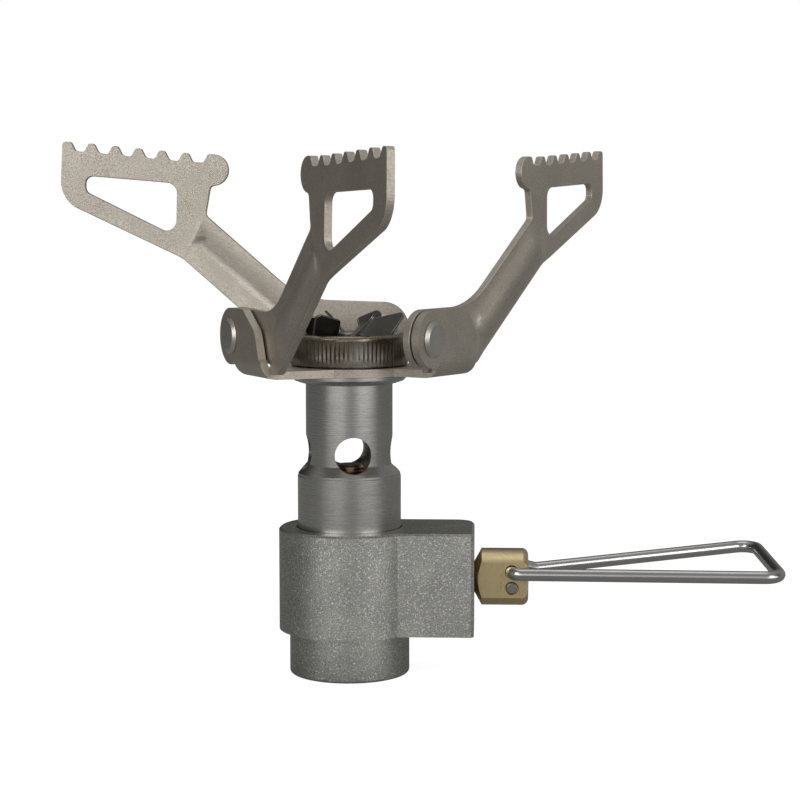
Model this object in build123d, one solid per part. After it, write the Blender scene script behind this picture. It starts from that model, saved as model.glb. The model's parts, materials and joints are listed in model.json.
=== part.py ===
from build123d import *
import math
import os

# Canister-top micro gas stove. Millimetres, +Z up, +X towards the flame control,
# origin at the centre of the base collar's bottom face.

# ---- valve body ----
collar_radius = 9.5
collar_height = 7.1
body_radius = 11.15
body_top = 23.3
block_end_x = 19.8
block_half_width = 7.8
socket_radius = 5.556
socket_depth = 7.0
seat_pocket_radius = 5.25
seat_pocket_top = 8.8
chamber_radius = 3.2
chamber_top = 12.6
sleeve_seat_z = 20.3
sleeve_seat_radius = 8.35
post_radius = 6.3
post_top = 26.5
jet_thread_radius = 2.4

# ---- mixing tube ----
sleeve_radius = 8.16
sleeve_top = 31.6
tube_radius = 6.84
tube_bore = 6.0
tube_cone_top = 33.4
flange_radius = 9.0
flange_bottom = 46.9
tube_top = 47.65
air_hole_radius = 2.85
air_hole_z = 35.2
air_hole_azimuths = (-80.5, 9.5, 99.5, 189.5)

# ---- support plate, ears and pot supports ----
# Each arm plane has its own axes: s outward along the arm, h up, and t the distance
# of the plane from the stove's axis.
sheet = 1.2
plate_bottom = tube_top
plate_top = plate_bottom + sheet
plate_radius = 10.5
plate_bore = 5.95
leg_near = -2.5
leg_far = 8.3
ear_outer = 18.43
ear_inner = ear_outer - sheet
bend_outer = 2.7
bend_inner = bend_outer - sheet
bend_line = plate_bottom + bend_outer
pivot_s = -3.95
pivot_h = 53.7
ear_lobe_radius = 4.4
root_lobe_radius = 4.45
root_outer = 16.86
root_inner = root_outer - sheet
head_outer = 18.26
beam_angle = math.radians(39.2)
crank_start = 42.0
crank_end = 66.0
beam_top_offset = 39.03
beam_low_corner = (29.6, 64.26)
foot_side = 8.55
foot_bottom = 49.13
underside = 50.5
rib_offset = 34.8
rib_start = 44.75
rib_end = 62.5
rib_base_half = 2.35
rib_crest_half = 1.45
rib_rise = 0.5
groove_mouth_half = 1.75
groove_floor_half = 0.75
arm_turns = {"left": 178.8, "front": 298.8, "right": 58.8}
arm_lifts = {"left": 1.7, "front": -2.1, "right": 0.4}
washer_inner = 16.88
washer_outer = 17.21
washer_radius = 3.6
rivet_shank = 1.5
rivet_head_radius = 2.85
rivet_head_rise = 0.66
rivet_crown_radius = 2.3

# ---- burner ----
ring_radius = 9.25
ring_bottom = plate_top + 0.15
ring_top = 53.9
ring_edge = 0.35
ring_wall = 1.9
cup_radius = 8.2
cup_wall = 0.7
cup_top = 52.9
spigot_radius = 5.9
spigot_bore = 5.1
spigot_bottom = 44.2
cup_floor = 49.75
screen_z = 52.2
screen_thickness = 0.6
screen_holes = ((6, 2.6, 0.45), (12, 4.2, 0.5), (18, 6.0, 0.55))
spreader_z = 53.2
spreader_sheet = 0.35
vane_count = 6
vane_tilt = 50.0
vane_turn = -20.0
vane_outline = ((2.2, 0.0), (6.9, 0.0), (8.6, 5.3), (3.2, 3.6))
vane_limit = 9.4
spreader_rivet_shank = 1.05

# ---- flame control ----
spindle_z = 15.4
head_radius = 4.5
head_flat = 3.5
head_start = 19.8
head_end = 28.3
stem_radius = 2.4
cross_hole_x = 25.7
cross_hole_rise = 1.3
wire_radius = 1.0
wire_hole_radius = 1.08


def turned(points):
    """A solid of revolution from (radius, height) points."""
    outline = Polyline(*[(r, 0, z) for r, z in points], close=True)
    return revolve(make_face(outline), Axis.Z)


def turned_x(points):
    """A solid of revolution about the spindle line from (x, radius) points."""
    outline = Polyline(*[(x, 0, spindle_z + r) for x, r in points], close=True)
    line = Axis((0, 0, spindle_z), (1, 0, 0))
    return revolve(make_face(outline), line)


def rod(radius, start, end):
    """A round bar between two points."""
    start = Vector(*start)
    end = Vector(*end)
    along = end - start
    plane = Plane(origin=start, z_dir=along)
    return extrude(plane * Circle(radius), along.length)


def ring(major, minor, centre, direction):
    """A round-section ring."""
    return Plane(origin=centre, z_dir=direction) * Torus(major, minor)


def one(shape):
    """The largest solid of a shape, as one piece."""
    return max(shape.solids(), key=lambda piece: piece.volume)


def build_valve_body():
    """Collar, drum and side block in one, with the socket and the gas ways inside."""
    collar = Pos(0, 0, 0) * Cylinder(
        collar_radius, collar_height, align=(Align.CENTER, Align.CENTER, Align.MIN)
    )
    collar = fillet(collar.edges().group_by(Axis.Z)[0], 0.5)
    drum = Pos(0, 0, collar_height) * Cylinder(
        body_radius, body_top - collar_height, align=(Align.CENTER, Align.CENTER, Align.MIN)
    )
    block = Pos(0, 0, collar_height) * Box(
        block_end_x,
        2 * block_half_width,
        body_top - collar_height,
        align=(Align.MIN, Align.CENTER, Align.MIN),
    )
    uprights = block.edges().filter_by(Axis.Z).group_by(Axis.X)[-1].sort_by(Axis.Y)
    block = fillet(uprights[-1], 3.0)
    uprights = block.edges().filter_by(Axis.Z).group_by(Axis.X)[-1].sort_by(Axis.Y)
    block = chamfer(uprights[0], 0.5)
    body = collar + drum + block
    rims = body.edges().group_by(Axis.Z)[-1]
    body = chamfer(rims, 0.35)
    post = Pos(0, 0, sleeve_seat_z) * Cylinder(
        post_radius, post_top - sleeve_seat_z, align=(Align.CENTER, Align.CENTER, Align.MIN)
    )
    seat = Pos(0, 0, sleeve_seat_z) * Cylinder(
        sleeve_seat_radius, 5.0, align=(Align.CENTER, Align.CENTER, Align.MIN)
    )
    body = body - seat + post
    socket = turned(
        [
            (0, -1),
            (socket_radius + 0.9, -1),
            (socket_radius + 0.6, 0),
            (socket_radius, 0.6),
            (socket_radius, socket_depth),
            (seat_pocket_radius, socket_depth),
            (seat_pocket_radius, seat_pocket_top),
            (chamber_radius, seat_pocket_top),
            (chamber_radius, chamber_top),
            (0, chamber_top),
        ]
    )
    inlet = rod(0.9, (0, 0, chamber_top - 0.5), (0, 0, spindle_z))
    needle_way = turned_x(
        [
            (-1.0, 0),
            (-1.0, 0.85),
            (3.5, 0.85),
            (3.5, 2.0),
            (8.0, 2.0),
            (8.0, stem_radius + 0.05),
            (17.5, stem_radius + 0.05),
            (17.5, 3.05),
            (18.4, 3.05),
            (18.4, stem_radius + 0.05),
            (block_end_x + 1, stem_radius + 0.05),
            (block_end_x + 1, 0),
        ]
    )
    outlet = rod(0.8, (5.6, 0, spindle_z + 1.0), (0.9, 0, 21.2))
    jet_bore = turned(
        [(0, 20.6), (jet_thread_radius, 20.6), (jet_thread_radius, post_top + 1), (0, post_top + 1)]
    )
    body = body - socket - inlet - needle_way - outlet - jet_bore
    return one(body)


def build_pin_holder():
    """Insert with three gas holes round the depressor pin."""
    holder = turned([(0.95, 8.8), (3.15, 8.8), (3.15, 11.4), (0.95, 11.4)])
    for turn in (0, 120, 240):
        angle = math.radians(turn)
        x = 2.0 * math.cos(angle)
        y = 2.0 * math.sin(angle)
        holder = holder - rod(0.5, (x, y, 8.0), (x, y, 12.0))
    return one(holder)


def build_depressor_pin():
    """Headed pin that opens the canister's valve."""
    return one(
        turned(
            [
                (0, 7.3),
                (0.6, 7.3),
                (0.9, 7.6),
                (0.9, 11.45),
                (1.5, 11.45),
                (1.5, 11.75),
                (0, 11.75),
            ]
        )
    )


def build_inlet_filter():
    """Ring of sintered metal round the pin's head."""
    profile = [(1.75, 11.45), (3.1, 11.45), (3.1, 12.5), (0.6, 12.5), (0.6, 11.9), (1.75, 11.9)]
    return one(turned(profile))


def build_canister_o_ring():
    """Seal against the canister's valve."""
    return ring(4.3, 0.88, (0, 0, 7.9), (0, 0, 1))


def build_valve_spindle():
    """Needle, stem and the flat-sided, cross-drilled head."""
    spindle = turned_x(
        [
            (2.24, 0),
            (2.24, 0.35),
            (5.4, 1.5),
            (8.6, 1.5),
            (8.6, stem_radius),
            (12.6, stem_radius),
            (12.6, 1.56),
            (13.6, 1.56),
            (13.6, stem_radius),
            (16.5, stem_radius),
            (16.5, 1.8),
            (19.0, 1.8),
            (19.0, stem_radius),
            (head_start, stem_radius),
            (head_start + 1.15, head_radius),
            (head_end - 0.9, head_radius),
            (head_end - 0.64, head_radius - 0.06),
            (head_end - 0.26, head_radius - 0.32),
            (head_end - 0.06, head_radius - 0.64),
            (head_end, head_radius - 0.9),
            (head_end, 0),
        ]
    )
    for side in (-1, 1):
        cut = Pos(head_start + 0.05, side * (head_flat + 2.5), spindle_z) * Box(
            20, 5.0, 12.0, align=(Align.MIN, Align.CENTER, Align.CENTER)
        )
        spindle = spindle - cut
    upper = spindle_z + cross_hole_rise
    lower = spindle_z - cross_hole_rise
    spindle = spindle - rod(wire_hole_radius, (cross_hole_x, -9, upper), (cross_hole_x, 9, upper))
    spindle = spindle - rod(0.9, (cross_hole_x, -9, lower), (cross_hole_x, 2.6, lower))
    spindle = spindle - rod(1.07, (cross_hole_x, -9, lower), (cross_hole_x, -2.5, lower))
    return one(spindle)


def build_stem_o_ring():
    """Seal in the spindle's groove."""
    return ring(2.0, 0.42, (13.1, 0, spindle_z), (1, 0, 0))


def build_retaining_ring():
    """Split ring that keeps the spindle in its bore."""
    whole = turned_x([(17.6, 1.95), (18.3, 1.95), (18.3, 3.0), (17.6, 3.0)])
    gap = Pos(17.95, 0, spindle_z + 3) * Box(3, 1.2, 4)
    return one(whole - gap)


def build_cross_pin():
    """Short bar in the head's lower cross hole."""
    lower = spindle_z - cross_hole_rise
    pin = rod(0.9, (cross_hole_x, -3.42, lower), (cross_hole_x, 2.6, lower))
    return one(chamfer(pin.edges().group_by(Axis.Y)[0], 0.12))


def build_wire_handle():
    """Loop of wire whose two ends sit in the head's upper cross hole."""
    upper = spindle_z + cross_hole_rise
    front_y = -5.05
    points = [
        (cross_hole_x, -1.6, upper),
        (cross_hole_x, front_y, upper - 0.1),
        (67.5, front_y, 16.4),
        (66.1, 17.0, 17.9),
        (29.6, 5.7, 15.7),
        (cross_hole_x, 5.35, upper),
        (cross_hole_x, 1.6, upper),
    ]
    radii = [1.5, 2.6, 2.6, 2.5, 1.5]
    return swept_wire(points, radii, wire_radius)


def swept_wire(points, radii, radius):
    """A round wire along straight runs joined by round bends of the given radii."""
    corners = [Vector(*p) for p in points]
    edges = []
    last = corners[0]
    for index, bend in enumerate(radii):
        before, corner, after = corners[index : index + 3]
        incoming = (corner - before).normalized()
        outgoing = (after - corner).normalized()
        turn = math.acos(max(-1.0, min(1.0, incoming.dot(outgoing))))
        setback = bend * math.tan(turn / 2)
        start = corner - incoming * setback
        end = corner + outgoing * setback
        inward = (outgoing - incoming).normalized()
        centre = corner + inward * (bend / math.cos(turn / 2))
        middle = centre - inward * bend
        edges.append(Line(last, start))
        edges.append(ThreePointArc(start, middle, end))
        last = end
    edges.append(Line(last, corners[-1]))
    path = Wire(edges)
    start_plane = Plane(origin=corners[0], z_dir=(corners[1] - corners[0]))
    return one(sweep(start_plane * Circle(radius), path=path))


def build_jet():
    """Gas jet: threaded stem, hexagon and drilled cap."""
    stem = turned([(0.9, 21.0), (2.38, 21.0), (2.38, 27.1), (0.9, 27.1)])
    hexagon = Pos(0, 0, 27.0) * extrude(
        Rot(0, 0, 30) * RegularPolygon(3.15, 6, rotation=0), 5.3
    )
    cap = turned([(0, 32.2), (2.4, 32.2), (2.4, 32.85), (2.05, 33.2), (0, 33.2)])
    body = stem + hexagon + cap
    body = body - rod(0.9, (0, 0, 20.0), (0, 0, 32.0))
    body = body - rod(0.28, (0, 0, 31.0), (0, 0, 34.0))
    return one(body)


def build_jet_washer():
    """Washer between the jet and its post."""
    return one(turned([(2.45, 26.5), (3.1, 26.5), (3.1, 27.0), (2.45, 27.0)]))


def build_mixing_tube():
    """Sleeve, cone, tube and flange in one, with four air holes."""
    tube = turned(
        [
            (post_radius + 0.02, sleeve_seat_z),
            (sleeve_radius, sleeve_seat_z),
            (sleeve_radius, sleeve_top - 0.12),
            (sleeve_radius - 0.1, sleeve_top),
            (sleeve_radius - 0.1, 31.9),
            (tube_radius, tube_cone_top),
            (tube_radius, flange_bottom - 0.85),
            (tube_radius + 0.75, flange_bottom - 0.7),
            (flange_radius - 0.4, flange_bottom - 0.35),
            (flange_radius, flange_bottom + 0.05),
            (flange_radius, tube_top - 0.15),
            (flange_radius - 0.15, tube_top),
            (tube_bore, tube_top),
            (tube_bore, 33.2),
            (7.0, 31.2),
            (7.0, post_top),
            (post_radius + 0.02, post_top),
        ]
    )
    for azimuth in air_hole_azimuths:
        angle = math.radians(azimuth)
        out = (20 * math.cos(angle), 20 * math.sin(angle), air_hole_z)
        tube = tube - rod(air_hole_radius, (0, 0, air_hole_z), out)
    return one(tube)


def on_arm(along, across):
    """The s-h point at a place measured along and across the sloping beam."""
    s = along * math.cos(beam_angle) - across * math.sin(beam_angle)
    h = along * math.sin(beam_angle) + across * math.cos(beam_angle)
    return (s, h)


def on_circle(centre, radius, degrees):
    """The s-h point on a circle, counted from the s axis."""
    angle = math.radians(degrees)
    return (centre[0] + radius * math.cos(angle), centre[1] + radius * math.sin(angle))


def run(points):
    """Straight edges through a list of points."""
    return [Line(a, b) for a, b in zip(points[:-1], points[1:])]


def soften(face, radius, points):
    """Round the corners of a flat face that lie at some points."""
    corners = []
    for vertex in face.vertices():
        if any(math.hypot(vertex.X - x, vertex.Y - y) < 0.1 for x, y in points):
            corners.append(vertex)
    return fillet(corners, radius)


def ear_outline():
    """Face of an ear above its bend, with the lobe hanging past the leg's near edge."""
    pivot = (pivot_s, pivot_h)
    drop = pivot_h - math.sqrt(ear_lobe_radius**2 - (leg_near - pivot_s) ** 2)
    low = (leg_near, drop)
    left = on_circle(pivot, ear_lobe_radius, 180)
    top = on_circle(pivot, ear_lobe_radius, 90)
    shoulder = (1.2, pivot_h + ear_lobe_radius)
    elbow = (6.0, 54.9)
    edges = [
        ThreePointArc(low, on_circle(pivot, ear_lobe_radius, 235), left),
        ThreePointArc(left, on_circle(pivot, ear_lobe_radius, 135), top),
    ]
    edges += run([top, shoulder, elbow, (7.5, bend_line + 0.5), (leg_far, bend_line)])
    edges += run([(leg_far, bend_line), (leg_near, bend_line), low])
    face = soften(make_face(edges), 1.2, [shoulder])
    return soften(face, 3.0, [elbow])


def upright(face, inner, outer):
    """Stand a flat s-h face up as sheet between two distances from the stove axis."""
    plane = Plane(origin=(0, -inner, 0), x_dir=(1, 0, 0), z_dir=(0, -1, 0))
    return extrude(plane * face, outer - inner)


def build_ear_and_leg():
    """Ear, rounded bend and the leg back to the middle of the plate."""
    ear = upright(ear_outline(), ear_inner, ear_outer)
    bend_t = ear_outer - bend_outer
    section = make_face(
        run([(0, plate_bottom), (bend_t, plate_bottom)])
        + [RadiusArc((bend_t, plate_bottom), (ear_outer, bend_line), -bend_outer)]
        + run([(ear_outer, bend_line), (ear_inner, bend_line)])
        + [RadiusArc((ear_inner, bend_line), (bend_t, plate_top), bend_inner)]
        + run([(bend_t, plate_top), (0, plate_top), (0, plate_bottom)])
    )
    plane = Plane(origin=(leg_far, 0, 0), x_dir=(0, -1, 0), z_dir=(-1, 0, 0))
    leg = extrude(plane * section, leg_far - leg_near)
    return leg + ear


def build_leg_relief():
    """Bevel cut on a leg's near edge, where the folded support hangs down past it."""
    face = make_face(
        Polyline(
            (leg_near - 0.2, plate_top - 0.55),
            (leg_near - 0.2, plate_top + 1.15),
            (leg_near + 1.5, plate_top + 1.15),
            close=True,
        )
    )
    return upright(face, root_inner - 0.2, root_outer + 0.2)


def pivot_bore(radius):
    """A rod on an arm's hinge line, through ear, washer and arm."""
    return rod(radius, (pivot_s, -10, pivot_h), (pivot_s, -25, pivot_h))


def build_support_plate():
    """Round plate with three legs and their ears."""
    plate = Pos(0, 0, plate_bottom) * Cylinder(
        plate_radius, sheet, align=(Align.CENTER, Align.CENTER, Align.MIN)
    )
    for turn in arm_turns.values():
        plate = plate + Rot(0, 0, turn) * build_ear_and_leg()
    for turn in arm_turns.values():
        plate = plate - Rot(0, 0, turn) * build_leg_relief()
        plate = plate - Rot(0, 0, turn) * pivot_bore(rivet_shank + 0.02)
    return one(plate - rod(plate_bore, (0, 0, 40), (0, 0, 60)))


def tooth_edges(start, teeth):
    """Zigzag of the pot teeth, from a start point to the last tooth's crest."""
    crest_half = 0.45
    valley_reach = 1.2
    valley_drop = 1.45
    points = [start]
    for left, right in zip(teeth[:-1], teeth[1:]):
        points += [
            (left[0] + crest_half, left[1]),
            (left[0] + valley_reach, left[1] - valley_drop),
            (right[0] - valley_reach, right[1] - valley_drop),
            (right[0] - crest_half, right[1]),
        ]
    return run(points), points[-1]


def arm_outline():
    """Face of a pot support in the s-h plane, with its teeth level."""
    pivot = (pivot_s, pivot_h)
    root_top = pivot_h + root_lobe_radius
    shoulder = (beam_foot(root_top), root_top)
    neck_low = (25.95, 71.52)
    knob = (24.9, 79.0)
    knob_radius = 2.6
    knob_low = on_circle(knob, knob_radius, 277)
    teeth = [
        (25.3, 81.6),
        (29.5, 81.7),
        (33.45, 81.96),
        (37.4, 82.23),
        (41.3, 82.5),
        (45.3, 82.8),
        (49.2, 83.0),
    ]
    tooth_start = (teeth[0][0] - 0.5, teeth[0][1])
    tip_top = (50.15, 83.0)
    tip_side = (50.3, 76.9)
    tip_low = (47.75, 72.15)
    heel = beam_low_at(foot_bottom)
    lobe_reach = math.sqrt(root_lobe_radius**2 - (pivot_h - underside) ** 2)
    lobe_end = (pivot_s + lobe_reach, underside)
    lobe_left = on_circle(pivot, root_lobe_radius, 180)
    lobe_top = on_circle(pivot, root_lobe_radius, 90)
    knob_left = on_circle(knob, knob_radius, 180)
    edges = [
        ThreePointArc(lobe_end, on_circle(pivot, root_lobe_radius, 250), lobe_left),
        ThreePointArc(lobe_left, on_circle(pivot, root_lobe_radius, 135), lobe_top),
    ]
    edges += run([lobe_top, shoulder, neck_low, knob_low])
    edges.append(ThreePointArc(knob_low, on_circle(knob, knob_radius, 225), knob_left))
    edges.append(ThreePointArc(knob_left, on_circle(knob, knob_radius, 135), tooth_start))
    zigzag, last = tooth_edges(tooth_start, teeth)
    edges += zigzag
    edges += run([last, tip_top, tip_side])
    edges.append(ThreePointArc(tip_side, (49.75, 74.25), tip_low))
    underside_end = (foot_side, underside)
    foot = (foot_side, foot_bottom)
    edges += run([tip_low, beam_low_corner, heel, foot, underside_end, lobe_end])
    face = make_face(edges)
    face = soften(face, 14.0, [shoulder])
    face = soften(face, 1.0, [neck_low])
    face = soften(face, 0.8, [knob_low])
    face = soften(face, 5.0, [beam_low_corner])
    face = soften(face, 0.9, [heel])
    face = soften(face, 0.6, [foot, underside_end])
    rounded = [v for v in face.vertices() if v.Y > 79.9 and 25.0 < v.X < 50.3]
    return fillet(rounded, 0.6)


def beam_foot(height):
    """Where the beam's upper edge passes a height."""
    return (height * math.cos(beam_angle) - beam_top_offset) / math.sin(beam_angle)


def beam_low_at(height):
    """The point of the beam's lower edge at a height."""
    s, h = beam_low_corner
    return (s - (h - height) / math.tan(beam_angle), height)


def head_window():
    """The open triangle in an arm's head."""
    wide_end = [(30.8, 76.6), (30.8, 67.8)]
    narrow_end = [(46.2, 74.85), (46.2, 77.45)]
    face = make_face(Polyline(*wide_end, *narrow_end, close=True))
    face = soften(face, 1.75, wide_end)
    return soften(face, 1.2, narrow_end)


def cranked_sheet():
    """A wide strip of sheet that steps outward over the length of the beam."""
    along = Vector(math.cos(beam_angle), 0, math.sin(beam_angle))
    across = Vector(-math.sin(beam_angle), 0, math.cos(beam_angle))
    plane = Plane(origin=(0, 0, 0), x_dir=along, z_dir=across)
    outer = [
        (-60, -root_outer),
        (crank_start, -root_outer),
        (crank_end, -head_outer),
        (160, -head_outer),
    ]
    inner = [(q, t + sheet) for q, t in reversed(outer)]
    return extrude(plane * make_face(Polyline(*outer, *inner, close=True)), 150, both=True)


def rib_body(base_half, crest_half, surface, rise):
    """A long rounded mound on the sloping part of the beam, between two slot outlines."""
    slope = math.atan2(head_outer - root_outer, crank_end - crank_start)
    along = Vector(math.cos(beam_angle), 0, math.sin(beam_angle))
    outward = Vector(0, -1, 0)
    x_dir = along * math.cos(slope) + outward * math.sin(slope)
    z_dir = outward * math.cos(slope) - along * math.sin(slope)
    middle = (rib_start + rib_end) / 2
    s, h = on_arm(middle, rib_offset)
    t = surface + (middle - crank_start) * math.tan(slope)
    length = rib_end - rib_start
    base = Plane(origin=(s, -t, h), x_dir=x_dir, z_dir=z_dir)
    crest = base.offset(rise)
    faces = [
        base * SlotCenterToCenter(length, 2 * base_half),
        crest * SlotCenterToCenter(length, 2 * crest_half),
    ]
    return loft(faces)


def build_arm():
    """Pot support: toothed head, cranked beam with a pressed rib, and pivot root."""
    face = arm_outline() - head_window()
    blank = upright(face, 14.0, 20.0)
    arm = one(blank & cranked_sheet())
    mound = rib_body(rib_base_half, rib_crest_half, root_outer - 0.02, rib_rise)
    hollow = rib_body(groove_mouth_half, groove_floor_half, root_inner - 0.02, rib_rise)
    arm = arm + mound - hollow
    return one(arm - pivot_bore(rivet_shank + 0.05))


def lifted(shape, degrees):
    """An arm's shape swung up about its rivet."""
    return Pos(pivot_s, 0, pivot_h) * Rot(0, -degrees, 0) * Pos(-pivot_s, 0, -pivot_h) * shape


def build_pivot_washer():
    """Spacer between a pot support and its ear."""
    start = (pivot_s, -washer_inner, pivot_h)
    end = (pivot_s, -washer_outer, pivot_h)
    return one(rod(washer_radius, start, end) - pivot_bore(rivet_shank + 0.02))


def build_pivot_rivet():
    """Rivet with a wide bevelled head outside the ear and a small one inside the arm."""
    inner_head = root_inner - 0.06
    profile = [
        (0, inner_head - 0.85),
        (1.9, inner_head - 0.85),
        (2.4, inner_head - 0.4),
        (2.4, inner_head),
        (rivet_shank, inner_head),
        (rivet_shank, ear_outer),
        (rivet_head_radius - 0.2, ear_outer),
        (rivet_head_radius, ear_outer + 0.12),
        (rivet_crown_radius, ear_outer + rivet_head_rise),
        (0, ear_outer + rivet_head_rise),
    ]
    plane = Plane(origin=(pivot_s, 0, pivot_h), x_dir=(1, 0, 0), z_dir=(0, 0, 1))
    section = make_face(Polyline(*[(r, -t) for r, t in profile], close=True))
    return one(revolve(plane * section, Axis((pivot_s, 0, pivot_h), (0, 1, 0))))


def build_burner_cup():
    """Cup with the spigot that passes down through the plate into the mixing tube."""
    shelf = plate_top + 0.01
    profile = [
        (spigot_bore, spigot_bottom),
        (spigot_radius, spigot_bottom),
        (spigot_radius, shelf),
        (cup_radius, shelf),
        (cup_radius, cup_top),
        (cup_radius - cup_wall, cup_top),
        (cup_radius - cup_wall, cup_floor),
        (spigot_bore, cup_floor),
    ]
    return one(turned(profile))


def build_burner_ring():
    """Ring round the cup, with a rounded top rim turned in over the cup's edge."""
    bore = cup_radius + 0.02
    lip = cup_top + 0.05
    inner = ring_radius - ring_wall
    profile = [
        (bore, ring_bottom),
        (ring_radius - ring_edge, ring_bottom),
        (ring_radius, ring_bottom + ring_edge),
        (ring_radius, ring_top - 0.7),
        (ring_radius - 0.2, ring_top - 0.2),
        (ring_radius - 0.7, ring_top),
        (inner + 0.4, ring_top),
        (inner, ring_top - 0.25),
        (inner, lip),
        (bore, lip),
    ]
    return one(turned(profile))


def centre_bore(radius):
    """A rod on the stove's axis through the burner head."""
    return rod(radius, (0, 0, 50), (0, 0, 60))


def build_flame_screen():
    """Perforated disc in the mouth of the cup."""
    screen = rod(cup_radius - cup_wall - 0.05, (0, 0, screen_z), (0, 0, screen_z + screen_thickness))
    for count, radius, hole in screen_holes:
        for index in range(count):
            angle = 2 * math.pi * (index + 0.5) / count
            x = radius * math.cos(angle)
            y = radius * math.sin(angle)
            screen = screen - rod(hole, (x, y, 50), (x, y, 55))
    return one(screen - centre_bore(spreader_rivet_shank + 0.05))


def build_flame_spreader():
    """Thin stamped disc whose vanes are bent up, each on its own radial fold."""
    spreader = Pos(0, 0, spreader_z) * Cylinder(
        2.7, spreader_sheet, align=(Align.CENTER, Align.CENTER, Align.MIN)
    )
    outline = make_face(Polyline(*vane_outline, close=True))
    outline = soften(outline, 0.7, vane_outline[2:])
    flat_vane = extrude(outline, spreader_sheet)
    vane = Pos(0, 0, spreader_z) * Rot(vane_tilt, 0, 0) * flat_vane
    for index in range(vane_count):
        spreader = spreader + Rot(0, 0, vane_turn + index * 360.0 / vane_count) * vane
    spreader = spreader & rod(vane_limit, (0, 0, spreader_z), (0, 0, 70))
    return one(spreader - centre_bore(spreader_rivet_shank + 0.05))


def build_spreader_rivet():
    """Rivet that holds the spreader on the screen."""
    screen_side = screen_z - 0.02
    spreader_side = spreader_z + spreader_sheet + 0.02
    profile = [
        (0, screen_side - 0.8),
        (1.7, screen_side - 0.8),
        (1.7, screen_side),
        (spreader_rivet_shank, screen_side),
        (spreader_rivet_shank, spreader_side),
        (1.75, spreader_side),
        (1.75, spreader_side + 0.3),
        (1.2, spreader_side + 0.6),
        (0, spreader_side + 0.6),
    ]
    return one(turned(profile))


def main():
    os.makedirs("parts", exist_ok=True)
    pieces = {
        "valve_body": build_valve_body(),
        "pin_holder": build_pin_holder(),
        "depressor_pin": build_depressor_pin(),
        "inlet_filter": build_inlet_filter(),
        "canister_o_ring": build_canister_o_ring(),
        "valve_spindle": build_valve_spindle(),
        "stem_o_ring": build_stem_o_ring(),
        "spindle_retaining_ring": build_retaining_ring(),
        "spindle_cross_pin": build_cross_pin(),
        "wire_handle": build_wire_handle(),
        "jet": build_jet(),
        "jet_washer": build_jet_washer(),
        "mixing_tube": build_mixing_tube(),
        "support_plate": build_support_plate(),
        "burner_cup": build_burner_cup(),
        "burner_ring": build_burner_ring(),
        "flame_screen": build_flame_screen(),
        "flame_spreader": build_flame_spreader(),
        "spreader_rivet": build_spreader_rivet(),
    }
    arm = build_arm()
    washer = build_pivot_washer()
    rivet = build_pivot_rivet()
    for side, turn in arm_turns.items():
        pieces["pot_support_" + side] = Rot(0, 0, turn) * lifted(arm, arm_lifts[side])
        pieces["pivot_washer_" + side] = Rot(0, 0, turn) * washer
        pieces["pivot_rivet_" + side] = Rot(0, 0, turn) * rivet
    for name, shape in pieces.items():
        box = shape.bounding_box()
        low = tuple(round(value, 2) for value in box.min)
        high = tuple(round(value, 2) for value in box.max)
        print(name, len(shape.solids()), round(shape.volume, 2), low, high)
        export_step(shape, "parts/" + name + ".step")


main()
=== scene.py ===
import json
import math

import bmesh
import bpy
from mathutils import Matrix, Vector


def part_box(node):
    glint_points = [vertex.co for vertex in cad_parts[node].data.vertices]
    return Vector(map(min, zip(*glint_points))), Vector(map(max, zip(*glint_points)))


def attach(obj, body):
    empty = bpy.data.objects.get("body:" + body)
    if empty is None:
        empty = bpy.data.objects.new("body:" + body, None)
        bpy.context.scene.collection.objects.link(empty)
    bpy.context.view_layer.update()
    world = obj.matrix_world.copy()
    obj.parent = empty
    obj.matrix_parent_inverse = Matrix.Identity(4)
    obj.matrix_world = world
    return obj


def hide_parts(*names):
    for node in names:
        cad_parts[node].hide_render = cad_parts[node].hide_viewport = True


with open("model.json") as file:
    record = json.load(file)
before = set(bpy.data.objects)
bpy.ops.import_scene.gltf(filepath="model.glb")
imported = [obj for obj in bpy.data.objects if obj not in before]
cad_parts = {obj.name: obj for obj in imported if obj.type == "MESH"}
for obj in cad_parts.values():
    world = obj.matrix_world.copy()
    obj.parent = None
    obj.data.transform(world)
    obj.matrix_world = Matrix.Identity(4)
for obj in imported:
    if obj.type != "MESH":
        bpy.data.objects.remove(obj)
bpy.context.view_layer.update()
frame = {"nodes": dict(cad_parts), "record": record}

MM = 0.001
BODY_OF = {
    node: body
    for body, members in frame["record"]["behaviour"]["bodies"].items()
    for node in members
}
SIDES = ("left", "front", "right")


# ---------------------------------------------------------------- materials


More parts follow.
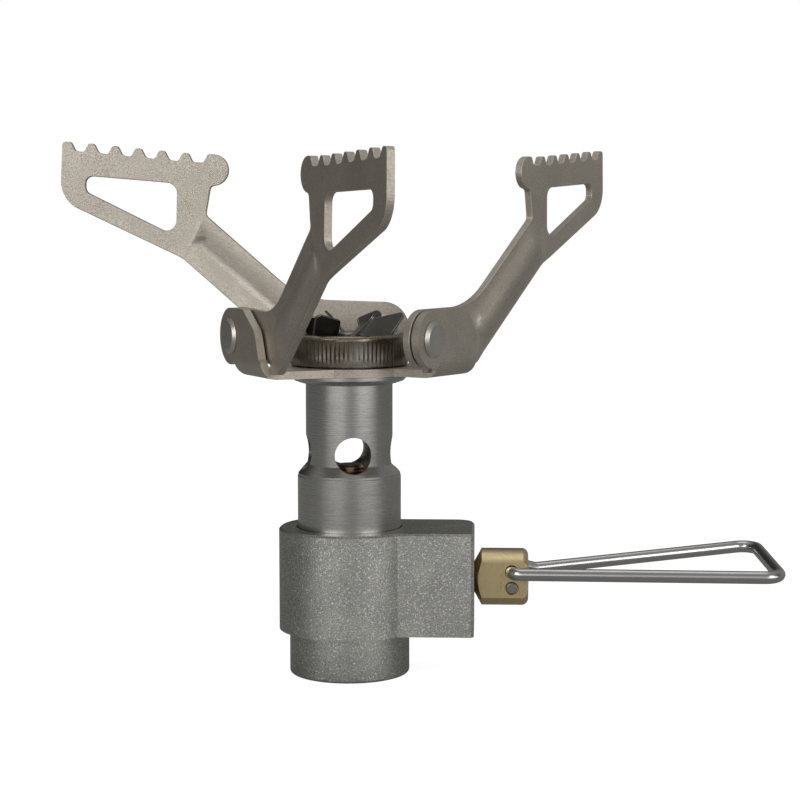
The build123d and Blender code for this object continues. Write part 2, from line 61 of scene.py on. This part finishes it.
class Finish:
    """A procedural metal or rubber, built up node by node on one Principled shader."""

    def __init__(self, name, metallic=1.0):
        self.material = bpy.data.materials.new(name)
        self.material.use_nodes = True
        self.tree = self.material.node_tree
        self.tree.nodes.clear()
        output = self.tree.nodes.new("ShaderNodeOutputMaterial")
        self.shader = self.tree.nodes.new("ShaderNodeBsdfPrincipled")
        self.shader.inputs["Metallic"].default_value = metallic
        self.join(self.shader.outputs["BSDF"], output.inputs["Surface"])
        self.coords = self.tree.nodes.new("ShaderNodeTexCoord").outputs["Object"]
        self.normal = None

    def join(self, source, target):
        self.tree.links.new(source, target)

    def noise(self, size_mm, detail=3.0, roughness=0.6, stretch=(1, 1, 1)):
        """Noise whose features are about size_mm across, stretched along the axes."""
        mapping = self.tree.nodes.new("ShaderNodeMapping")
        mapping.inputs["Scale"].default_value = tuple(1.0 / s for s in stretch)
        self.join(self.coords, mapping.inputs["Vector"])
        noise = self.tree.nodes.new("ShaderNodeTexNoise")
        noise.inputs["Scale"].default_value = 1.0 / (size_mm * MM)
        noise.inputs["Detail"].default_value = detail
        noise.inputs["Roughness"].default_value = roughness
        self.join(mapping.outputs["Vector"], noise.inputs["Vector"])
        return noise.outputs["Fac"]

    def ranged(self, value, low, high, start=0.3, end=0.7):
        """A value moved from start..end to low..high."""
        node = self.tree.nodes.new("ShaderNodeMapRange")
        node.inputs["From Min"].default_value = start
        node.inputs["From Max"].default_value = end
        node.inputs["To Min"].default_value = low
        node.inputs["To Max"].default_value = high
        self.join(value, node.inputs["Value"])
        return node.outputs["Result"]

    def maths(self, operation, first, second):
        node = self.tree.nodes.new("ShaderNodeMath")
        node.operation = operation
        for socket, value in zip(node.inputs, (first, second)):
            if isinstance(value, (int, float)):
                socket.default_value = value
            else:
                self.join(value, socket)
        return node.outputs["Value"]

    def blend(self, factor, first, second):
        """A colour between two colours, each a tuple or a socket."""
        node = self.tree.nodes.new("ShaderNodeMix")
        node.data_type = "RGBA"
        self.join(factor, node.inputs["Factor"])
        for socket, value in zip((node.inputs[6], node.inputs[7]), (first, second)):
            if isinstance(value, tuple):
                socket.default_value = (*value, 1.0)
            else:
                self.join(value, socket)
        return node.outputs[2]

    def bump(self, height, depth_mm, strength=1.0):
        """Adds relief on top of the relief that is already there."""
        node = self.tree.nodes.new("ShaderNodeBump")
        node.inputs["Distance"].default_value = depth_mm * MM
        node.inputs["Strength"].default_value = strength
        self.join(height, node.inputs["Height"])
        if self.normal is not None:
            self.join(self.normal, node.inputs["Normal"])
        self.normal = node.outputs["Normal"]

    def edge_mask(self, radius_mm):
        """1 on edges and corners within about radius_mm, 0 on open surfaces."""
        rounded = self.tree.nodes.new("ShaderNodeBevel")
        rounded.samples = 4
        rounded.inputs["Radius"].default_value = radius_mm * MM
        geometry = self.tree.nodes.new("ShaderNodeNewGeometry")
        dot = self.tree.nodes.new("ShaderNodeVectorMath")
        dot.operation = "DOT_PRODUCT"
        self.join(rounded.outputs["Normal"], dot.inputs[0])
        self.join(geometry.outputs["Normal"], dot.inputs[1])
        return self.ranged(dot.outputs["Value"], 1.0, 0.0, 0.82, 0.995)

    def done(self, colour, roughness):
        self.join(colour, self.shader.inputs["Base Color"])
        self.join(roughness, self.shader.inputs["Roughness"])
        if self.normal is not None:
            self.join(self.normal, self.shader.inputs["Normal"])
        return self.material


def blasted(name, dark, light, rough, grain_mm, depth_mm, edge_wear_and_highlight=None, speckle=0.35, painted_glint=None):
    """Bead-blasted metal: fine isotropic grain, slow mottling, optional painted glints, and edges
    lightened partly as rubbed wear and partly as painted highlight.
    """
    finish = Finish(name)
    slow = finish.noise(6.0, detail=4.0)
    grain = finish.noise(grain_mm, detail=2.0, roughness=0.7)
    tone = finish.blend(finish.ranged(slow, 0.0, 1.0), dark, light)
    pits = tuple(channel * (1.0 - speckle) for channel in dark)
    tone = finish.blend(finish.ranged(grain, 0.75, 0.0, 0.28, 0.55), tone, pits)
    # Painted glints: bright colour at random grain points, standing in for light catching the
    # blasted facets.
    if painted_glint:
        glint_points = finish.noise(grain_mm * 1.3, detail=1.0)
        tone = finish.blend(finish.ranged(glint_points, 0.0, 1.0, 0.56, 0.68), tone, painted_glint)
    sheen = finish.ranged(grain, rough + 0.1, rough - 0.06)
    finish.bump(grain, depth_mm)
    # Edges lightened: partly rubbed wear, partly painted highlight standing in for light catching
    # the edges.
    if edge_wear_and_highlight:
        edge = finish.edge_mask(0.22)
        patch = finish.ranged(finish.noise(1.6), 0.25, 1.0)
        tone = finish.blend(finish.maths("MULTIPLY", edge, patch), tone, edge_wear_and_highlight)
    return finish.done(tone, sheen)


def turned_metal(name, dark, light, rough, stretch, depth_mm, line_mm=0.12, edge_wear_and_highlight=None):
    """Lathe-turned or drawn metal: fine lines, long along the stretched axes."""
    finish = Finish(name)
    lines = finish.noise(line_mm, detail=3.0, roughness=0.65, stretch=stretch)
    slow = finish.noise(5.0, detail=3.0)
    tone = finish.blend(finish.ranged(slow, 0.0, 1.0), dark, light)
    darker = tuple(channel * 0.72 for channel in dark)
    tone = finish.blend(finish.ranged(lines, 0.55, 0.0, 0.3, 1.0), tone, darker)
    sheen = finish.ranged(lines, rough + 0.08, rough - 0.05)
    finish.bump(lines, depth_mm)
    # Edges lightened: partly rubbed wear, partly painted highlight standing in for light catching
    # the edges.
    if edge_wear_and_highlight:
        tone = finish.blend(finish.edge_mask(0.15), tone, edge_wear_and_highlight)
    return finish.done(tone, sheen)


def heat_tinted(name):
    """Stainless ring with upright brushing and straw-brown heat tint in soft clouds."""
    finish = Finish(name)
    lines = finish.noise(0.22, detail=3.0, roughness=0.7, stretch=(1, 1, 30))
    cloud = finish.noise(5.0, detail=3.0)
    clouds = finish.ranged(cloud, 0.0, 1.0, 0.38, 0.62)
    tone = finish.blend(clouds, (0.27, 0.225, 0.17), (0.44, 0.415, 0.375))
    between_lines = finish.ranged(lines, 0.5, 0.0, 0.32, 0.52)
    tone = finish.blend(between_lines, tone, (0.12, 0.10, 0.08))
    finish.bump(lines, 0.02)
    return finish.done(tone, finish.ranged(lines, 0.34, 0.2))


def rubber(name):
    finish = Finish(name, metallic=0.0)
    grain = finish.noise(0.12, detail=2.0)
    tone = finish.blend(finish.ranged(grain, 0.0, 1.0), (0.012, 0.012, 0.013), (0.03, 0.03, 0.032))
    finish.bump(grain, 0.01)
    return finish.done(tone, finish.ranged(grain, 0.5, 0.66))


def sintered(name):
    finish = Finish(name)
    grain = finish.noise(0.18, detail=2.0)
    tone = finish.blend(finish.ranged(grain, 0.0, 1.0), (0.10, 0.08, 0.05), (0.52, 0.42, 0.26))
    finish.bump(grain, 0.06)
    return finish.done(tone, finish.ranged(grain, 0.6, 0.42))


def make_materials():
    return {
        "titanium": blasted(
            "titanium",
            dark=(0.58, 0.525, 0.45),
            light=(0.67, 0.615, 0.535),
            rough=0.5,
            grain_mm=0.22,
            depth_mm=0.05,
            edge_wear_and_highlight=(0.70, 0.64, 0.56),
        ),
        "drum": blasted(
            "blasted_alloy",
            dark=(0.42, 0.42, 0.385),
            light=(0.56, 0.56, 0.515),
            rough=0.38,
            grain_mm=0.17,
            depth_mm=0.05,
            painted_glint=(0.85, 0.85, 0.80),
            edge_wear_and_highlight=(0.55, 0.55, 0.51),
            speckle=0.75,
        ),
        "tube": turned_metal(
            "turned_alloy",
            dark=(0.56, 0.555, 0.52),
            light=(0.66, 0.655, 0.62),
            rough=0.24,
            stretch=(60, 60, 1),
            depth_mm=0.006,
        ),
        "brass": turned_metal(
            "brass",
            dark=(0.84, 0.67, 0.36),
            light=(0.90, 0.74, 0.43),
            rough=0.3,
            stretch=(1, 8, 8),
            depth_mm=0.006,
            edge_wear_and_highlight=(0.92, 0.80, 0.54),
        ),
        "jet_brass": turned_metal(
            "jet_brass",
            dark=(0.58, 0.42, 0.26),
            light=(0.66, 0.50, 0.33),
            rough=0.3,
            stretch=(8, 8, 1),
            depth_mm=0.004,
        ),
        "wire": turned_metal(
            "bright_wire",
            dark=(0.62, 0.61, 0.59),
            light=(0.70, 0.69, 0.67),
            rough=0.18,
            stretch=(20, 1, 1),
            depth_mm=0.002,
        ),
        "steel": turned_metal(
            "satin_steel",
            dark=(0.38, 0.36, 0.33),
            light=(0.48, 0.46, 0.42),
            rough=0.3,
            stretch=(4, 4, 4),
            depth_mm=0.004,
        ),
        "rivet": blasted(
            "rivet_steel",
            dark=(0.62, 0.585, 0.525),
            light=(0.74, 0.705, 0.64),
            rough=0.36,
            grain_mm=0.14,
            depth_mm=0.008,
            edge_wear_and_highlight=(0.90, 0.87, 0.82),
        ),
        # Vanes: the near-black tone is painted shade standing in for the shadowed blade
        # undersides, and the near-white edge colour is painted highlight.
        "vane": turned_metal(
            "vane_steel_painted_shade_and_highlight",
            dark=(0.10, 0.095, 0.085),
            light=(0.20, 0.19, 0.175),
            rough=0.34,
            stretch=(3, 3, 3),
            depth_mm=0.002,
            edge_wear_and_highlight=(0.92, 0.90, 0.86),
        ),
        "cap": heat_tinted("burner_cap_steel"),
        "rubber": rubber("rubber"),
        "filter": sintered("sintered_bronze"),
    }


# ---------------------------------------------------------------- pieces


def new_piece(name, glint_points, faces, material, node, smooth_angle=35.0):
    """A mesh piece that rides on its CAD node's body."""
    mesh = bpy.data.meshes.new(name)
    mesh.from_pydata(glint_points, [], faces)
    mesh.validate()
    mesh.materials.append(material)
    mesh.shade_smooth()
    mesh.set_sharp_from_angle(angle=math.radians(smooth_angle))
    piece = bpy.data.objects.new(name, mesh)
    bpy.context.scene.collection.objects.link(piece)
    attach(piece, BODY_OF[node])
    return piece


def eased(node, width_mm, material):
    """The CAD node's own shape as a new piece, with its hard edges rounded over."""
    work = bmesh.new()
    work.from_mesh(frame["nodes"][node].data)
    bmesh.ops.remove_doubles(work, verts=work.verts, dist=1e-7)
    bmesh.ops.dissolve_limit(
        work,
        angle_limit=math.radians(0.3),
        use_dissolve_boundaries=False,
        verts=work.verts,
        edges=work.edges,
    )
    work.verts.index_update()
    glint_points = [v.co.copy() for v in work.verts]
    faces = [[v.index for v in face.verts] for face in work.faces]
    work.free()
    piece = new_piece(node + "_finished", glint_points, faces, material, node)
    round_over = piece.modifiers.new("round_over", "BEVEL")
    round_over.width = width_mm * MM
    round_over.segments = 2
    round_over.limit_method = "ANGLE"
    round_over.angle_limit = math.radians(32)
    round_over.harden_normals = True
    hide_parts(node)
    return piece


def spun(profile, count):
    """Points and faces of a closed ring spun from (radius, height) pairs in mm.
    Each pair may carry a serration depth as a third number."""
    glint_points = []
    rows = len(profile)
    for step in range(count):
        angle = 2 * math.pi * step / count
        for entry in profile:
            radius = entry[0]
            if len(entry) > 2:
                radius -= entry[2] * (step % 2)
            x = radius * math.cos(angle)
            y = radius * math.sin(angle)
            glint_points.append(Vector((x, y, entry[1])) * MM)
    faces = []
    for step in range(count):
        after = (step + 1) % count
        for row in range(rows):
            below = (row + 1) % rows
            faces.append(
                [step * rows + row, after * rows + row, after * rows + below, step * rows + below]
            )
    return glint_points, faces


def make_burner_ring(material):
    """Knurled ring: a rounded rim above a wall of fine upright serrations."""
    low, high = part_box("burner_ring")
    outer = high.x / MM
    inner = outer - 1.9
    bore = 8.22
    lip = 52.95
    bottom = low.z / MM
    top = high.z / MM
    rim_radius = 0.7
    lip_radius = 0.5
    ridges = 84
    serration = 0.15
    profile = [
        (bore, bottom),
        (outer - 0.35, bottom),
        (outer - 0.12, bottom + 0.1),
        (outer, bottom + 0.3, serration),
        (outer, bottom + 1.5, serration),
        (outer, top - 1.3, serration),
        (outer, top - 0.95, serration * 0.3),
    ]
    for step in range(7):
        turn = math.radians(90 * step / 6)
        radius = outer - rim_radius + rim_radius * math.cos(turn)
        profile.append((radius, top - rim_radius + rim_radius * math.sin(turn)))
    for step in range(5):
        turn = math.radians(90 + 90 * step / 4)
        radius = inner + lip_radius + lip_radius * math.cos(turn)
        profile.append((radius, top - lip_radius + lip_radius * math.sin(turn)))
    profile += [(inner, lip), (bore, lip)]
    glint_points, faces = spun(profile, 2 * ridges)
    ring = new_piece("burner_ring_knurled", glint_points, faces, material, "burner_ring", 30)
    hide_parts("burner_ring")
    return ring


def make_socket_thread(material):
    """Helical ridge of the canister thread on the socket's wall."""
    wall = 5.54
    crest = 5.1
    pitch = 25.4 / 28
    start = 0.95
    turns = 6.2
    steps_per_turn = 72
    section = ((wall, -0.40), (crest, -0.08), (crest, 0.08), (wall, 0.40))
    glint_points = []
    total = int(turns * steps_per_turn)
    for step in range(total + 1):
        angle = 2 * math.pi * step / steps_per_turn
        fade = min(1.0, step / 30, (total - step) / 30)
        for radius, rise in section:
            r = wall + (radius - wall) * fade
            z = start + pitch * step / steps_per_turn + rise * max(fade, 0.05) * pitch
            glint_points.append(Vector((r * math.cos(angle), r * math.sin(angle), z)) * MM)
    faces = []
    for step in range(total):
        for side in range(len(section)):
            after = (side + 1) % len(section)
            a = step * len(section)
            b = a + len(section)
            faces.append([a + side, a + after, b + after, b + side])
    faces.append([3, 2, 1, 0])
    last = total * len(section)
    faces.append([last, last + 1, last + 2, last + 3])
    return new_piece("canister_thread_ridge", glint_points, faces, material, "valve_body", 20)


def build_object():
    metal = make_materials()
    eased("valve_body", 0.12, metal["drum"])
    eased("mixing_tube", 0.08, metal["tube"])
    eased("support_plate", 0.14, metal["titanium"])
    for side in SIDES:
        eased("pot_support_" + side, 0.14, metal["titanium"])
        eased("pivot_washer_" + side, 0.1, metal["steel"])
        eased("pivot_rivet_" + side, 0.1, metal["rivet"])
    eased("valve_spindle", 0.1, metal["brass"])
    eased("spindle_cross_pin", 0.05, metal["steel"])
    eased("wire_handle", 0.02, metal["wire"])
    eased("jet", 0.08, metal["jet_brass"])
    eased("burner_cup", 0.08, metal["steel"])
    eased("flame_screen", 0.05, metal["steel"])
    eased("flame_spreader", 0.08, metal["vane"])
    eased("spreader_rivet", 0.06, metal["steel"])
    make_burner_ring(metal["cap"])
    make_socket_thread(metal["drum"])
    plain = {
        "pin_holder": "brass",
        "depressor_pin": "brass",
        "inlet_filter": "filter",
        "canister_o_ring": "rubber",
        "stem_o_ring": "rubber",
        "spindle_retaining_ring": "steel",
        "jet_washer": "steel",
    }
    for node, finish in plain.items():
        mesh = frame["nodes"][node].data
        mesh.materials.clear()
        mesh.materials.append(metal[finish])


# ---------------------------------------------------------------- studio


def world_maths(tree, operation, first, second):
    """One maths step of the world; each side is a socket or a number."""
    node = tree.nodes.new("ShaderNodeMath")
    node.operation = operation
    for target, value in zip(node.inputs, (first, second)):
        if isinstance(value, float):
            target.default_value = value
        else:
            tree.links.new(value, target)
    return node.outputs[0]


def panel_light(tree, split, azimuth, half_width, strength):
    """A soft upright light panel in one compass direction, brightest at its middle."""
    angle = math.radians(azimuth)
    along_x = world_maths(tree, "MULTIPLY", split.outputs["X"], math.cos(angle))
    along_y = world_maths(tree, "MULTIPLY", split.outputs["Y"], math.sin(angle))
    facing = world_maths(tree, "ADD", along_x, along_y)
    falloff = tree.nodes.new("ShaderNodeMapRange")
    falloff.interpolation_type = "SMOOTHSTEP"
    falloff.inputs["From Min"].default_value = math.cos(math.radians(half_width))
    falloff.inputs["To Max"].default_value = strength
    tree.links.new(facing, falloff.inputs["Value"])
    return falloff.outputs["Result"]


def make_world():
    """A dim studio with a large soft panel at each side of the camera, a weaker one
    between them and one at the right, and a little light from above."""
    dim = 0.04
    top_light = 0.4
    top_starts = 0.35
    top_full = 0.9
    panels = (
        # azimuth and half width in degrees, strength
        (240, 35, 2.2),
        (320, 35, 2.6),
        (280, 50, 0.7),
        (40, 60, 0.3),
    )
    world = bpy.data.worlds.new("studio")
    bpy.context.scene.world = world
    world.use_nodes = True
    tree = world.node_tree
    tree.nodes.clear()
    output = tree.nodes.new("ShaderNodeOutputWorld")
    direction = tree.nodes.new("ShaderNodeTexCoord").outputs["Generated"]
    split = tree.nodes.new("ShaderNodeSeparateXYZ")
    tree.links.new(direction, split.inputs[0])
    total = dim
    for azimuth, half_width, strength in panels:
        panel = panel_light(tree, split, azimuth, half_width, strength)
        total = world_maths(tree, "ADD", panel, total)
    height = tree.nodes.new("ShaderNodeMapRange")
    height.interpolation_type = "SMOOTHSTEP"
    height.inputs["From Min"].default_value = top_starts
    height.inputs["From Max"].default_value = top_full
    tree.links.new(split.outputs["Z"], height.inputs["Value"])
    mix = tree.nodes.new("ShaderNodeMix")
    mix.data_type = "FLOAT"
    mix.inputs[3].default_value = top_light
    tree.links.new(height.outputs["Result"], mix.inputs["Factor"])
    tree.links.new(total, mix.inputs[2])
    lit = tree.nodes.new("ShaderNodeBackground")
    tree.links.new(mix.outputs[0], lit.inputs["Strength"])
    seen = tree.nodes.new("ShaderNodeBackground")
    seen.inputs["Color"].default_value = (1.0, 1.0, 1.0, 1.0)
    ray = tree.nodes.new("ShaderNodeLightPath")
    choose = tree.nodes.new("ShaderNodeMixShader")
    tree.links.new(ray.outputs["Is Camera Ray"], choose.inputs[0])
    tree.links.new(lit.outputs[0], choose.inputs[1])
    tree.links.new(seen.outputs[0], choose.inputs[2])
    tree.links.new(choose.outputs[0], output.inputs["Surface"])


def make_floor():
    """A wide pale floor with a very faint tooth, which glows nearly white to the camera and
    throws little light back on the object."""
    half = 2.0
    mesh = bpy.data.meshes.new("floor")
    corners = [(-half, -half, 0), (half, -half, 0), (half, half, 0), (-half, half, 0)]
    mesh.from_pydata(corners, [], [[0, 1, 2, 3]])
    finish = Finish("pale_floor", metallic=0.0)
    tooth = finish.noise(0.8)
    tone = finish.blend(finish.ranged(tooth, 0.0, 1.0), (0.33, 0.33, 0.33), (0.35, 0.35, 0.35))
    material = finish.done(tone, finish.ranged(tooth, 0.7, 0.8))
    tree = material.node_tree
    finish.shader.inputs["Specular IOR Level"].default_value = 0.0
    glow = tree.nodes.new("ShaderNodeEmission")
    glow.inputs["Color"].default_value = (1.0, 1.0, 1.0, 1.0)
    ray = tree.nodes.new("ShaderNodeLightPath")
    glow_to_object = 0.04
    glow_to_camera = 0.92
    is_camera = ray.outputs["Is Camera Ray"]
    strength = finish.ranged(is_camera, glow_to_object, glow_to_camera, 0.0, 1.0)
    finish.join(strength, glow.inputs["Strength"])
    both = tree.nodes.new("ShaderNodeAddShader")
    finish.join(finish.shader.outputs["BSDF"], both.inputs[0])
    finish.join(glow.outputs["Emission"], both.inputs[1])
    output = next(node for node in tree.nodes if node.type == "OUTPUT_MATERIAL")
    finish.join(both.outputs["Shader"], output.inputs["Surface"])
    mesh.materials.append(material)
    floor = bpy.data.objects.new("floor", mesh)
    bpy.context.scene.collection.objects.link(floor)


def add_softbox(name, place, aim, size, power):
    light = bpy.data.lights.new(name, "AREA")
    light.shape = "SQUARE"
    light.size = size
    light.energy = power
    lamp = bpy.data.objects.new(name, light)
    lamp.location = place
    lamp.rotation_euler = (Vector(aim) - Vector(place)).to_track_quat("-Z", "Y").to_euler()
    bpy.context.scene.collection.objects.link(lamp)


def make_lights():
    middle = (0.0, 0.0, 0.045)
    add_softbox("softbox_left", (-0.45, -0.6, 0.42), middle, 0.35, 1.1)
    add_softbox("softbox_right", (0.55, -0.5, 0.38), middle, 0.3, 0.5)
    add_softbox("softbox_top", (0.0, 0.1, 0.75), middle, 0.5, 0.5)


def make_camera():
    """The viewing angle of the photograph, level with the pot supports."""
    sensor = 36.0
    focal_px = 1942.5
    image_px = 800.0
    pitch = math.radians(5.24)
    yaw = 0.0433
    camera = bpy.data.cameras.new("camera")
    camera.sensor_width = sensor
    camera.lens = sensor * focal_px / image_px
    camera.clip_start = 0.01
    rig = bpy.data.objects.new("camera", camera)
    rig.location = Vector((21.2, -304.3, 71.3)) * MM
    rig.rotation_euler = (math.pi / 2 - pitch, 0.0, yaw)
    bpy.context.scene.collection.objects.link(rig)
    bpy.context.scene.camera = rig


build_object()
make_world()
make_floor()
make_lights()
make_camera()
bpy.context.scene.view_settings.view_transform = "Standard"
